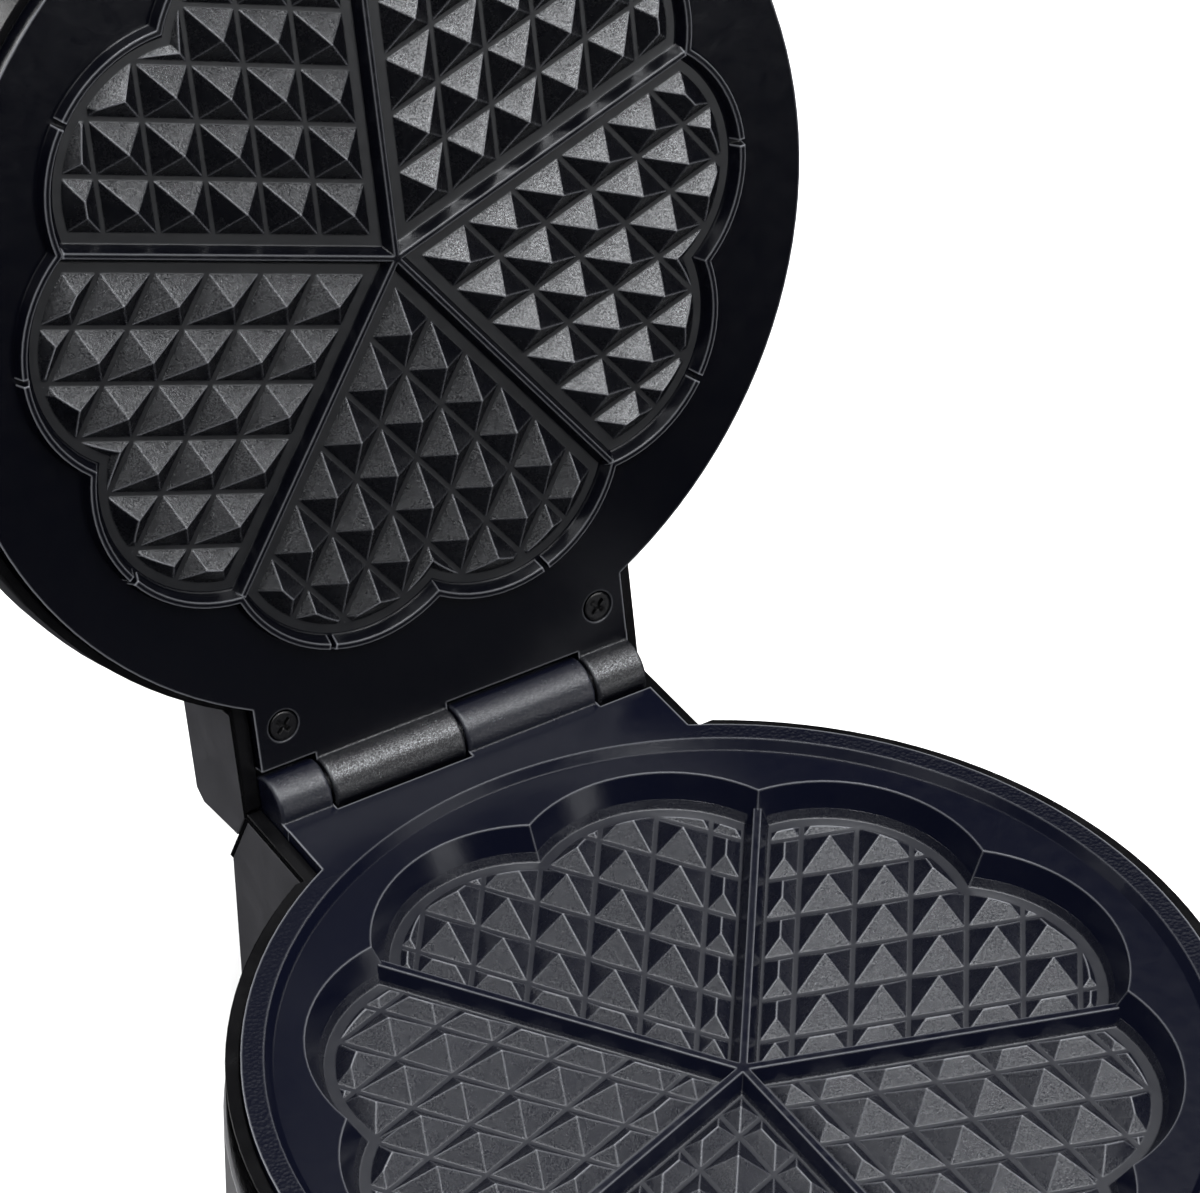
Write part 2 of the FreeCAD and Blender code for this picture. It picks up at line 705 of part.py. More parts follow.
def handle_holes(height):
    """Two holes through the front wall for the handle's screws."""
    holes = []
    for side in (-1, 1):
        spot = Vector(side * D["handle_screw_side"], -95.0, height)
        holes.append(Part.makeCylinder(D["screw_hole"], 20.0, spot, Vector(0, -1, 0)))
    return Part.makeCompound(holes)


BASE_HANDLE_LEVEL = "-band_top - 0.5 * handle_thick"
LID_HANDLE_LEVEL = "trim_skirt + lid_handle_screw_rise"
back_low = stop_face(DEPTH, -D["buffer_end"])
back_slope = (back_low[0] - D["block_foot"]) / (back_low[1] - FLOOR)
gland_back = D["hinge_back"] + back_low[0] + back_slope * (D["buffer_end"] - D["gland_height"])
gland_point = Vector(D["gland_side"], gland_back, -D["gland_height"])
gland_way = Vector(0, 1, -back_slope).normalize()
gland_hole = Part.makeCylinder(D["gland_radius"], 12.0, gland_point + gland_way * 4.0, gland_way * -1)
base = base.cut(handle_holes(amount(BASE_HANDLE_LEVEL))).cut(gland_hole)
for side in (-1, 1):
    spot = Vector(side * D["rear_foot_side"], D["rear_foot_back"], FLOOR - EXTRA)
    base = base.cut(Part.makeCylinder(D["foot_peg_hole"], D["house_wall"] + 2 * EXTRA, spot))
node("base_shell", made("base_shell", base), BASE)

# ---------------------------------------------------------------------- lid housing
top = D["lid_top"]
cap = revolved((
    (0, D["trim_skirt"]), (rim, D["trim_skirt"]), (rim, top - 9.0), (rim - 1.2, top - 5.0),
    (rim - 4.5, top - 1.6), (rim - 9.0, top), (0, top),
))
cap_room = revolved((
    (0, 0), (wall_inside, 0), (wall_inside, top - 8.6), (wall_inside - 6.4, top - D["house_wall"]),
    (0, top - D["house_wall"]),
))
lid_block = side_prism((
    (FRONT, D["strip_foot"]), lid_face(D["strip_foot"]), STOP[1], (D["stop_back"] - 1.6, top - 2.6),
    (D["stop_back"] - 4.2, top), (FRONT, top),
), -D["cheek_half"], D["cheek_half"])
block_inside = D["stop_back"] - D["house_wall"]
lid_block_room = side_prism((
    (FRONT - EXTRA, -EXTRA), (-D["house_wall"], -EXTRA),
    (lid_face(D["strip_foot"])[0], D["strip_foot"] + 3.9), (block_inside, D["stop_top"] + 1.6),
    (block_inside - 1.6, top - 4.0), (block_inside - 3.4, top - D["house_wall"]),
    (FRONT - EXTRA, top - D["house_wall"]),
), -INSIDE, INSIDE)
lid = cap.fuse(lid_block.cut(ring_room))
lid = lid.cut(cap_room).cut(lid_block_room.cut(trough_wall)).cut(trough).cut(tongue_room)
lid_posts = [
    Part.makeCylinder(D["post_radius"], top - D["upper_slab"] - EXTRA, spot + Vector(0, 0, D["upper_slab"]))
    for spot in LID_SCREWS
]
lid_ways = [Part.makeCylinder(D["screw_hole"], 15.0, spot) for spot in LID_SCREWS]
lid = lid.multiFuse(lid_posts).cut(Part.makeCompound(lid_ways))
lid = lid.cut(handle_holes(amount(LID_HANDLE_LEVEL)))
top_ways = [Part.makeCylinder(D["spindle_radius"] + 1.0, 30.0, Vector(0, -D["knob_forward"], top - 10.0))]
for side in (-1, 1):
    spot = Vector(side * D["lamp_side"], -D["lamp_forward"], top - 10.0)
    top_ways.append(Part.makeCylinder(D["lamp_hole"], 30.0, spot))
node("lid_shell", made("lid_shell", lid.cut(Part.makeCompound(top_ways))), LID)

# -------------------------------------------------- steel disc on the lid, steel band
panel = new_body("lid_panel_body")
panel_outline = sketch_on(panel, "XZ_Plane")
draw_polygon(panel_outline, (
    ("0", "lid_top + panel_rise - panel_thick"), ("panel_flat", "lid_top + panel_rise - panel_thick"),
    ("panel_radius - 2.2", "lid_top + 1.2"), ("panel_radius - 1.3", "lid_top"), ("panel_radius", "lid_top"),
    ("panel_radius - 1.0", "lid_top + 1.8"), ("panel_flat", "lid_top + panel_rise"),
    ("0", "lid_top + panel_rise"),
))
turned(panel, "Revolution", panel_outline)
panel_holes = sketch_on(panel, "XY_Plane", "lid_top")
draw_circle(panel_holes, "0", "-knob_forward", "spindle_radius + 1")
draw_circle(panel_holes, "lamp_side", "-lamp_forward", "lamp_hole")
draw_circle(panel_holes, "-lamp_side", "-lamp_forward", "lamp_hole")
swept(panel, "Pocket", panel_holes, "20", down=True)
node("lid_panel", panel, LID)

band_ring = cut(
    "band_ring",
    cylinder("band_outer", "house_radius + band_thick", "band_bottom - band_top", z="-band_bottom"),
    cylinder("band_inner", "house_radius", "band_bottom - band_top + 2", z="-band_bottom - 1"),
)
band_gap = box("band_gap", "2 * cheek_half + 0.6", "100", "80", "-cheek_half - 0.3", "20", "-70")
band_holes = [
    cylinder(
        "band_hole_" + word, "screw_hole", "20", sign + "handle_screw_side", "-115", BASE_HANDLE_LEVEL, "y"
    )
    for word, sign in (("left", "-"), ("right", ""))
]
node("base_band", cut("base_band_cut", band_ring, band_gap, *band_holes), BASE)


# ----------------------------------------------------- heating elements and reflectors
def heater(name, level, down):
    """Horseshoe element under a plate, its two pins running away from the plate."""
    body = new_body(name + "_body")
    tube = sketch_on(body, "XZ_Plane")
    draw_circle(tube, "heater_radius", level, "heater_tube")
    turned(body, "Revolution", tube, "300")
    pins = sketch_on(body, "XY_Plane", level)
    draw_circle(pins, "-0.866 * heater_radius", "0.5 * heater_radius", "heater_pin")
    draw_circle(pins, "-0.866 * heater_radius", "-0.5 * heater_radius", "heater_pin")
    swept(body, "Pad", pins, "heater_pin_length", down)
    body.Placement = Placement(Vector(), Rotation(Vector(0, 0, 1), -90))
    return body


def shield(name, near, far, rim_level):
    """Shallow sheet cup that throws the element's heat back at the plate."""
    body = new_body(name + "_body")
    profile = sketch_on(body, "XZ_Plane")
    draw_polygon(profile, (
        ("0", near), ("shield_radius - shield_thick", near), ("shield_radius - shield_thick", rim_level),
        ("shield_radius", rim_level), ("shield_radius", far), ("0", far),
    ))
    turned(body, "Revolution", profile)
    holes = sketch_on(body, "XY_Plane", near)
    draw_circle(holes, "0", "0", "screw_shank + 0.3")
    draw_circle(holes, "0.5 * heater_radius", "0.866 * heater_radius", "heater_pin + 0.8")
    draw_circle(holes, "-0.5 * heater_radius", "0.866 * heater_radius", "heater_pin + 0.8")
    pocket = swept(body, "Pocket", holes, "5")
    pocket.Midplane = True
    return body


def pan_screw(name, level, down):
    """Pan-head screw through a reflector into its plate."""
    body = new_body(name + "_body")
    head = sketch_on(body, "XY_Plane", level)
    draw_circle(head, "0", "0", "screw_head + 0.5")
    swept(body, "Pad", head, "head_depth", down)
    shank = sketch_on(body, "XY_Plane", level)
    draw_circle(shank, "0", "0", "screw_shank")
    swept(body, "Pad", shank, "shield_room - 2", not down)
    return body


LOWER_PAN = "-cavity_depth - cavity_skin"
node("lower_heater", heater("lower_heater", LOWER_PAN + " - heater_tube", True), BASE)
node("upper_heater", heater("upper_heater", "upper_slab + heater_tube", False), LID)
lower_near = LOWER_PAN + " - shield_room"
upper_near = "upper_slab + shield_room"
node("lower_shield", shield("lower_shield", lower_near, lower_near + " - shield_thick", LOWER_PAN), BASE)
node("upper_shield", shield("upper_shield", upper_near, upper_near + " + shield_thick", "upper_slab"), LID)
node("lower_shield_screw", pan_screw("lower_shield_screw", lower_near + " - shield_thick", True), BASE)
node("upper_shield_screw", pan_screw("upper_shield_screw", upper_near + " + shield_thick", False), LID)

# ---------------------------------------------------------------- bottom cover and feet
cover = new_body("bottom_cover_body")
disc = sketch_on(cover, "XY_Plane", "-base_bottom")
draw_circle(disc, "0", "0", "cover_radius")
swept(cover, "Pad", disc, "cover_thick")
slot = sketch_on(cover, "XY_Plane", "-base_bottom")
draw_polygon(slot, (
    ("-vent_half", "vent_start"), ("vent_half", "vent_start"),
    ("vent_half", "vent_end"), ("-vent_half", "vent_end"),
))
repeated(cover, swept(cover, "Pocket", slot, "cover_thick", down=True), VENTS)
ways = sketch_on(cover, "XY_Plane", "-base_bottom")
for sign in ("", "-"):
    draw_circle(ways, sign + "foot_side", "-foot_side", "foot_peg_hole")
    draw_circle(ways, sign + "0.866 * post_ring", "0.5 * post_ring", "screw_hole")
    draw_circle(ways, sign + "0.866 * post_ring", "-0.5 * post_ring", "screw_hole")
swept(cover, "Pocket", ways, "cover_thick", down=True)
node("bottom_cover", cover, BASE)

feet = []
for word, x, y in (
    ("front_left", "-foot_side", "-foot_side"), ("front_right", "foot_side", "-foot_side"),
    ("rear_left", "-rear_foot_side", "rear_foot_back"), ("rear_right", "rear_foot_side", "rear_foot_back"),
):
    floor = "-base_bottom - foot_height"
    feet.append(cone("foot_" + word, "foot_radius - 1", "foot_radius", "foot_height", x, y, floor))
    feet.append(cylinder("foot_peg_" + word, "foot_peg", "2 * cover_thick", x, y, "-base_bottom - 1"))
node("rubber_feet", fuse("rubber_feet_set", *feet), BASE)


# --------------------------------------------------------------------------- screws
def screws_at(spots, head_way, length, countersunk=False):
    """Screws with cross-recessed heads; each spot is the plane under a head or on its face."""
    solids = []
    for spot in spots:
        face = spot if countersunk else spot + head_way * D["head_depth"]
        if countersunk:
            head = Part.makeCone(D["screw_head"], D["screw_shank"], D["head_depth"], spot, head_way * -1)
        else:
            head = Part.makeCylinder(D["screw_head"], D["head_depth"], spot, head_way)
        shank = Part.makeCylinder(D["screw_shank"], length, spot, head_way * -1)
        cross = []
        for turn in (45.0, 135.0):
            arm = Part.makeBox(4.0, 0.9, 2.6, Vector(-2.0, -0.45, -1.3))
            arm.rotate(Vector(0, 0, 0), Vector(0, 0, 1), turn)
            cross.append(arm)
        recess = cross[0].fuse(cross[1])
        recess.Placement = Placement(face, Rotation(Vector(0, 0, 1), head_way))
        solids.append(head.fuse(shank).cut(recess))
    return Part.makeCompound(solids)


UP = Vector(0, 0, 1)
lower_spots = [polar(D["post_ring"], angle, -D["post_low"]) for angle in POST_ANGLES]
lower_length = D["post_low"] + pan_bottom + D["shield_room"] - 2.0
node("lower_plate_screws", made("lower_plate_screw_set", screws_at(lower_spots, UP * -1, lower_length)), BASE)
node("upper_plate_screws", made("upper_plate_screw_set", screws_at(LID_SCREWS, UP * -1, 14.0, True)), LID)
cover_spots = [polar(D["post_ring"], angle, -D["base_bottom"]) for angle in COVER_ANGLES]
node("cover_screws", made("cover_screw_set", screws_at(cover_spots, UP * -1, 10.0)), BASE)
for name, level, where in (
    ("base_handle_screws", BASE_HANDLE_LEVEL, BASE),
    ("lid_handle_screws", LID_HANDLE_LEVEL, LID),
):
    reach = math.sqrt(wall_inside ** 2 - (D["handle_screw_side"] + D["screw_head"]) ** 2)
    spots = [Vector(side * D["handle_screw_side"], -reach, amount(level)) for side in (-1, 1)]
    node(name, made(name + "_set", screws_at(spots, Vector(0, 1, 0), 14.0)), where)


# -------------------------------------------------------------------------- handles
def handle(name, low, seat, screw_level):
    """Moulded grip whose hollow back fits the round housing."""
    body = new_body(name + "_body")
    grip = sketch_on(body, "XY_Plane", low)
    draw_polygon(grip, (
        ("handle_half", "-house_radius + 12"), ("-handle_half", "-house_radius + 12"),
        ("-handle_half + 4", "-house_radius - 30"), ("-handle_tip_half", "-house_radius - handle_length + 6"),
        ("-handle_tip_half + 8", "-house_radius - handle_length"),
        ("handle_tip_half - 8", "-house_radius - handle_length"),
        ("handle_tip_half", "-house_radius - handle_length + 6"), ("handle_half - 4", "-house_radius - 30"),
    ))
    pad = swept(body, "Pad", grip, "handle_thick")
    rounded(body, pad, 2.5)
    drum_face = sketch_on(body, "XY_Plane", low + " - 1")
    draw_circle(drum_face, "0", "0", seat)
    swept(body, "Pocket", drum_face, "handle_thick + 2", down=True)
    bores = sketch_on(body, "XZ_Plane", "house_radius - 8")
    for x in ("handle_screw_side", "-handle_screw_side"):
        draw_circle(bores, x, screw_level, "screw_hole")
    swept(body, "Pocket", bores, "20", down=True)
    return body


base_seat = "house_radius + band_thick + 0.1"
base_grip = handle("base_handle", "-band_top - handle_thick", base_seat, BASE_HANDLE_LEVEL)
lid_grip = handle("lid_handle", "trim_skirt + 0.2", "house_radius + 0.1", LID_HANDLE_LEVEL)
node("base_handle", base_grip, BASE)
node("lid_handle", lid_grip, LID)

# ------------------------------------------------------------------------ hinge pin
pin = new_body("hinge_pin_body")
rod = sketch_on(pin, "YZ_Plane", "-barrel_long - 1.5 * barrel_gap - barrel_short + bore_end")
draw_circle(rod, "hinge_back", "0", "pin_radius")
swept(pin, "Pad", rod, "2 * barrel_long + 2 * barrel_short + 3 * barrel_gap - 2 * bore_end")
node("hinge_pin", pin, BASE)

# --------------------------------------------------- cord inlet and wiring in the base
gland = new_body("cord_bushing_body")
gland_profile = sketch_on(gland, "XZ_Plane")
draw_polygon(gland_profile, (
    ("cord_radius", "3.4"), ("gland_radius", "3.4"), ("gland_radius + 2", "2.4"), ("gland_radius + 3", "0"),
    ("gland_radius - 0.1", "0"), ("gland_radius - 0.1", "-house_wall - 0.5"),
    ("gland_radius + 1.6", "-house_wall - 0.5"), ("gland_radius + 1.6", "-house_wall - 3"),
    ("cord_radius", "-house_wall - 3"),
))
turned(gland, "Revolution", gland_profile)
gland.Placement = Placement(gland_point, Rotation(Vector(0, 0, 1), gland_way))
node("cord_bushing", gland, BASE)

terminals = new_body("terminal_block_body")
block = sketch_on(terminals, "XY_Plane", "-base_bottom + cover_thick")
draw_polygon(block, (
    ("-terminal_half", "terminal_front"), ("terminal_half", "terminal_front"),
    ("terminal_half", "terminal_back"), ("-terminal_half", "terminal_back"),
))
swept(terminals, "Pad", block, "terminal_high")
wire_holes = sketch_on(terminals, "XY_Plane", "-base_bottom + cover_thick + terminal_high")
for x in ("-terminal_step", "0", "terminal_step"):
    draw_circle(wire_holes, x, "terminal_front + terminal_inset", "terminal_bore")
    draw_circle(wire_holes, x, "terminal_back - terminal_inset", "terminal_bore")
swept(terminals, "Pocket", wire_holes, "0.6 * terminal_high")
node("terminal_block", terminals, BASE)

# -------------------------------------------------------------- controls in the lid
thermostat = new_body("thermostat_body_body")
case = sketch_on(thermostat, "XY_Plane", "lid_top - house_wall")
draw_polygon(case, (
    ("-0.5 * thermostat_long", "-knob_forward - 0.5 * thermostat_wide"),
    ("0.5 * thermostat_long", "-knob_forward - 0.5 * thermostat_wide"),
    ("0.5 * thermostat_long", "-knob_forward + 0.5 * thermostat_wide"),
    ("-0.5 * thermostat_long", "-knob_forward + 0.5 * thermostat_wide"),
))
swept(thermostat, "Pad", case, "thermostat_high", down=True)
well = sketch_on(thermostat, "XY_Plane", "lid_top - house_wall")
draw_circle(well, "0", "-knob_forward", "spindle_radius + fit_gap")
swept(thermostat, "Pocket", well, "thermostat_high - 1.5")
node("thermostat_body", thermostat, LID)

spindle = new_body("knob_spindle_body")
shaft = sketch_on(spindle, "XY_Plane", "lid_top - house_wall - thermostat_high + 2")
draw_circle(shaft, "0", "-knob_forward", "spindle_radius")
swept(spindle, "Pad", shaft, "24")
flat = sketch_on(spindle, "XY_Plane", "lid_top + panel_rise + 1")
draw_polygon(flat, (
    ("-spindle_radius - 1", "-knob_forward + 0.6 * spindle_radius"),
    ("spindle_radius + 1", "-knob_forward + 0.6 * spindle_radius"),
    ("spindle_radius + 1", "-knob_forward + spindle_radius + 1"),
    ("-spindle_radius - 1", "-knob_forward + spindle_radius + 1"),
))
swept(spindle, "Pocket", flat, "20", down=True)
node("knob_spindle", spindle, LID)

knob = new_body("thermostat_knob_body")
knob_profile = sketch_on(knob, "XZ_Plane")
draw_polygon(knob_profile, (
    ("spindle_radius + 0.05", "0"), ("knob_radius", "0"), ("knob_radius", "1.8"),
    ("knob_radius - 1.4", "2.4"), ("knob_radius - 2.4", "knob_height - 1.6"),
    ("knob_radius - 4", "knob_height"), ("0", "knob_height"),
    ("0", "knob_height - 3.4"), ("spindle_radius + 0.05", "knob_height - 3.4"),
))
turned(knob, "Revolution", knob_profile)
flute = sketch_on(knob, "XY_Plane", "2.6")
draw_circle(flute, "knob_radius - 0.4", "0", "1.7")
repeated(knob, swept(knob, "Pocket", flute, "knob_height", down=True), FLUTES)
knob.Placement = Placement(Vector(0, -D["knob_forward"], top + D["panel_rise"] + 0.5), Rotation())
node("thermostat_knob", knob, LID)

pointer = new_body("knob_pointer_body")
bar = sketch_on(pointer, "XY_Plane", "lid_top + panel_rise + 0.5 + knob_height")
draw_polygon(bar, (
    ("-1", "-knob_forward - knob_radius + 5"), ("1", "-knob_forward - knob_radius + 5"),
    ("1", "-knob_forward - 3"), ("-1", "-knob_forward - 3"),
))
swept(pointer, "Pad", bar, "0.6")
node("knob_pointer", pointer, LID)

for name, side in (("red_lens", -1), ("green_lens", 1)):
    lens = new_body(name + "_body")
    dome = sketch_on(lens, "XZ_Plane")
    draw_polygon(dome, (
        ("0", "-9"), ("lamp_radius", "-9"), ("lamp_radius", "0"), ("lamp_radius + 1.2", "0"),
        ("lamp_radius + 1.2", "0.8"), ("lamp_radius - 0.4", "2.2"), ("0", "2.8"),
    ))
    turned(lens, "Revolution", dome)
    lens_seat = Vector(side * D["lamp_side"], -D["lamp_forward"], top + D["panel_rise"])
    lens.Placement = Placement(lens_seat, Rotation())
    node(name, lens, LID)

cases = []
wells = []
for word, sign in (("left", "-"), ("right", "")):
    spot = (sign + "lamp_side", "-lamp_forward")
    case_foot = "lid_top - house_wall - lamp_case_high"
    cases.append(cylinder("lamp_case_" + word, "lamp_case", "lamp_case_high", *spot, case_foot))
    wells.append(cylinder("lamp_well_" + word, "lamp_hole", "5", *spot, "lid_top - 6"))
lamp_cases = fuse("lamp_cases", *cases)
node("lamp_holders", cut("lamp_holder_set", lamp_cases, *wells), LID)

fuse_level = "upper_slab + shield_room + shield_thick + fuse_radius"
fuse_set = fuse(
    "thermal_fuse_set",
    cylinder("fuse_case", "fuse_radius", "fuse_long", "-fuse_side", "fuse_back", fuse_level, "x"),
    cylinder(
        "fuse_leads", "fuse_lead_radius", "fuse_long + 2 * fuse_lead", "-fuse_side - fuse_lead", "fuse_back",
        fuse_level, "x",
    ),
)
node("thermal_fuse", fuse_set, LID)

# ---------------------------------------------------------------------- check, write
doc.recompute()
for obj in doc.Objects:
    if "Invalid" in obj.State or "Error" in obj.State:
        raise RuntimeError("%s did not compute: %s" % (obj.Name, obj.State))
for name, obj in nodes.items():
    if obj.Shape.isNull() or not obj.Shape.isValid() or not obj.Shape.Solids:
        raise RuntimeError("%s has no valid shape" % name)
os.makedirs("parts", exist_ok=True)
for name, obj in nodes.items():
    obj.Shape.exportStep("parts/%s.step" % name)
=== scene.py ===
import json
import math

import bpy
from mathutils import Matrix, Vector

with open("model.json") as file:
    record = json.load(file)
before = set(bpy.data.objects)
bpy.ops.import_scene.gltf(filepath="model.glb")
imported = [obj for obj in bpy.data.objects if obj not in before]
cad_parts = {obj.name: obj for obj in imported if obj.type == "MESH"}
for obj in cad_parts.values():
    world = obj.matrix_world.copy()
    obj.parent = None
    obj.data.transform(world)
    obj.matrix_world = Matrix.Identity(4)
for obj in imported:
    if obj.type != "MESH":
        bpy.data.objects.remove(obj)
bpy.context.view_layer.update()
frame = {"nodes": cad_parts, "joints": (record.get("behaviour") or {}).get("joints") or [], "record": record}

record = frame["record"]
scene = bpy.context.scene


# --------------------------------------------------------------- small node helpers
class Graph:
    """A material's node tree, with short ways to add and join nodes."""

    def __init__(self, name):
        self.material = bpy.data.materials.new(name)
        self.material.use_nodes = True
        self.tree = self.material.node_tree
        self.shader = self.tree.nodes["Principled BSDF"]

    def add(self, kind, **values):
        """Add a node; each value goes to the input of that name, or to the node's own setting."""
        item = self.tree.nodes.new(kind)
        for key, value in values.items():
            if key in item.inputs:
                item.inputs[key].default_value = value
            else:
                setattr(item, key, value)
        return item

    def link(self, source, out, target, socket):
        """Join a node's output to another node's input, and return the second node."""
        self.tree.links.new(source.outputs[out], target.inputs[socket])
        return target

    def put(self, **values):
        """Set the shader's own sockets; an underscore stands for a space."""
        for key, value in values.items():
            self.shader.inputs[key.replace("_", " ")].default_value = value

    def place(self):
        """The piece's own coordinates: Object is in metres, and Normal is the surface's direction."""
        return self.add("ShaderNodeTexCoord")

    def noise(self, scale, detail=3.0, roughness=0.5, stretch=None):
        """Noise in the object's own metres; scale is in cells per metre."""
        item = self.add("ShaderNodeTexNoise", Scale=scale, Detail=detail, Roughness=roughness)
        if stretch is None:
            self.link(self.place(), "Object", item, "Vector")
        else:
            squeezed = self.add("ShaderNodeMapping", Scale=stretch)
            self.link(self.place(), "Object", squeezed, "Vector")
            self.link(squeezed, "Vector", item, "Vector")
        return item

    def ramp(self, source, out, stops):
        """A colour ramp; each stop is (place, colour), where a plain number means a grey."""
        item = self.add("ShaderNodeValToRGB")
        for index, (at, value) in enumerate(stops):
            stop = item.color_ramp.elements[index] if index < 2 else item.color_ramp.elements.new(at)
            stop.position = at
            stop.color = (*value, 1.0) if hasattr(value, "__len__") else (value, value, value, 1.0)
        return self.link(source, out, item, "Fac")

    def span(self, source, out, low_value, high_value, start=0.0, end=1.0):
        """Stretch the range from start to end onto the range from the low value to the high one."""
        item = self.add("ShaderNodeMapRange")
        item.inputs["From Min"].default_value = start
        item.inputs["From Max"].default_value = end
        item.inputs["To Min"].default_value = low_value
        item.inputs["To Max"].default_value = high_value
        return self.link(source, out, item, "Value")

    def math(self, operation, first, second=None, third=None):
        """One step of arithmetic; each input is a number or a (node, output) pair."""
        item = self.add("ShaderNodeMath", operation=operation)
        for index, value in enumerate((first, second, third)):
            if isinstance(value, tuple):
                self.tree.links.new(value[0].outputs[value[1]], item.inputs[index])
            elif value is not None:
                item.inputs[index].default_value = value
        return item, "Value"

    def length(self, first, second):
        """The length of a vector from its two parts."""
        squares = self.math("MULTIPLY_ADD", second, second, self.math("MULTIPLY", first, first))
        return self.math("SQRT", squares)

    def tally(self, base, *shares):
        """A base value plus each mask times its share."""
        for mask, share in shares:
            base = self.math("MULTIPLY_ADD", mask, share, base)
        return base

    def edges(self, width):
        """1 on outer edges and 0 on flat ground and in corners; width is in metres."""
        item = self.add("ShaderNodeAmbientOcclusion", Distance=width, inside=True, samples=8)
        return self.span(item, "AO", 1.0, 0.0, 0.45, 0.95)

    def bumps(self, *layers, rounding=0.0):
        """Stack bump nodes; each layer is (source, output, strength, distance).

        Rounding is the radius in metres that the piece's edges are worn or cast to.
        """
        before = None
        if rounding > 0.0:
            before = self.add("ShaderNodeBevel", Radius=rounding, samples=6)
        for source, out, strength, distance in layers:
            item = self.add("ShaderNodeBump", Strength=strength, Distance=distance)
            self.link(source, out, item, "Height")
            if before is not None:
                self.link(before, "Normal", item, "Normal")
            before = item
        self.link(before, "Normal", self.shader, "Normal")


# ------------------------------------------------------------------------- materials
# Both baking plates, in metres, each in its own frame: the star's centre is the origin, the hinge is at +Y.
# Ground whose normal is nearer to upright than flattest_slope counts as flat.
heart_turn, lobe_turn = math.radians(72.0), math.radians(36.0)
lobe_centre = 0.055
hinge_back = 0.1156
tongue_front = 0.089
barrel_reach = 0.0075
flattest_slope = 0.96


def plate_masks(g, turn, shift, field_edge, spoke_half, rim_start):
    """Where a plate is facet, flat ground, spoke, wall, hinge barrel or rim, each as 0 or 1.

    Turn and shift carry a point of the piece to the plate's own frame.
    """
    own = g.add("ShaderNodeMapping", Rotation=(turn, 0.0, 0.0), Location=shift)
    g.link(g.place(), "Object", own, "Vector")
    axes = g.link(own, "Vector", g.add("ShaderNodeSeparateXYZ"), "Vector")
    x, y, z = (axes, "X"), (axes, "Y"), (axes, "Z")
    reach = g.length(x, y)
    around = g.math("ARCTAN2", x, y)

    off_lobe = g.math("SUBTRACT", g.math("WRAP", around, lobe_turn, 0.0), 0.5 * lobe_turn)
    ahead = g.math("SUBTRACT", g.math("MULTIPLY", reach, g.math("COSINE", off_lobe)), lobe_centre)
    beside = g.math("MULTIPLY", reach, g.math("SINE", off_lobe))
    in_lobe = g.math("LESS_THAN", g.length(ahead, beside), field_edge)
    field = g.math("MAXIMUM", g.math("LESS_THAN", reach, lobe_centre), in_lobe)

    off_spoke = g.math("SUBTRACT", g.math("WRAP", around, heart_turn, 0.0), 0.5 * heart_turn)
    from_spoke = g.math("ABSOLUTE", g.math("MULTIPLY", reach, g.math("SINE", off_spoke)))
    spoke = g.math("MULTIPLY", g.math("LESS_THAN", from_spoke, spoke_half), field)

    from_pin = g.length(g.math("SUBTRACT", y, hinge_back), z)
    barrel = g.math("LESS_THAN", from_pin, barrel_reach)

    facing = g.add("ShaderNodeMapping", vector_type="NORMAL", Rotation=(turn, 0.0, 0.0))
    g.link(g.place(), "Normal", facing, "Vector")
    tilt = g.link(facing, "Vector", g.add("ShaderNodeSeparateXYZ"), "Vector")
    sloping = g.math("LESS_THAN", g.math("ABSOLUTE", (tilt, "Z")), flattest_slope)
    waffle = g.math("SUBTRACT", field, spoke)
    facet = g.math("MULTIPLY", waffle, sloping)
    ground = g.math("SUBTRACT", waffle, facet)
    wall = g.math("MULTIPLY", sloping, g.math("LESS_THAN", g.math("ADD", field, barrel), 0.5))
    before_tongue = g.math("LESS_THAN", y, tongue_front)
    rim = g.math("MULTIPLY", g.math("GREATER_THAN", reach, rim_start), before_tongue)
    return facet, ground, spoke, wall, barrel, rim


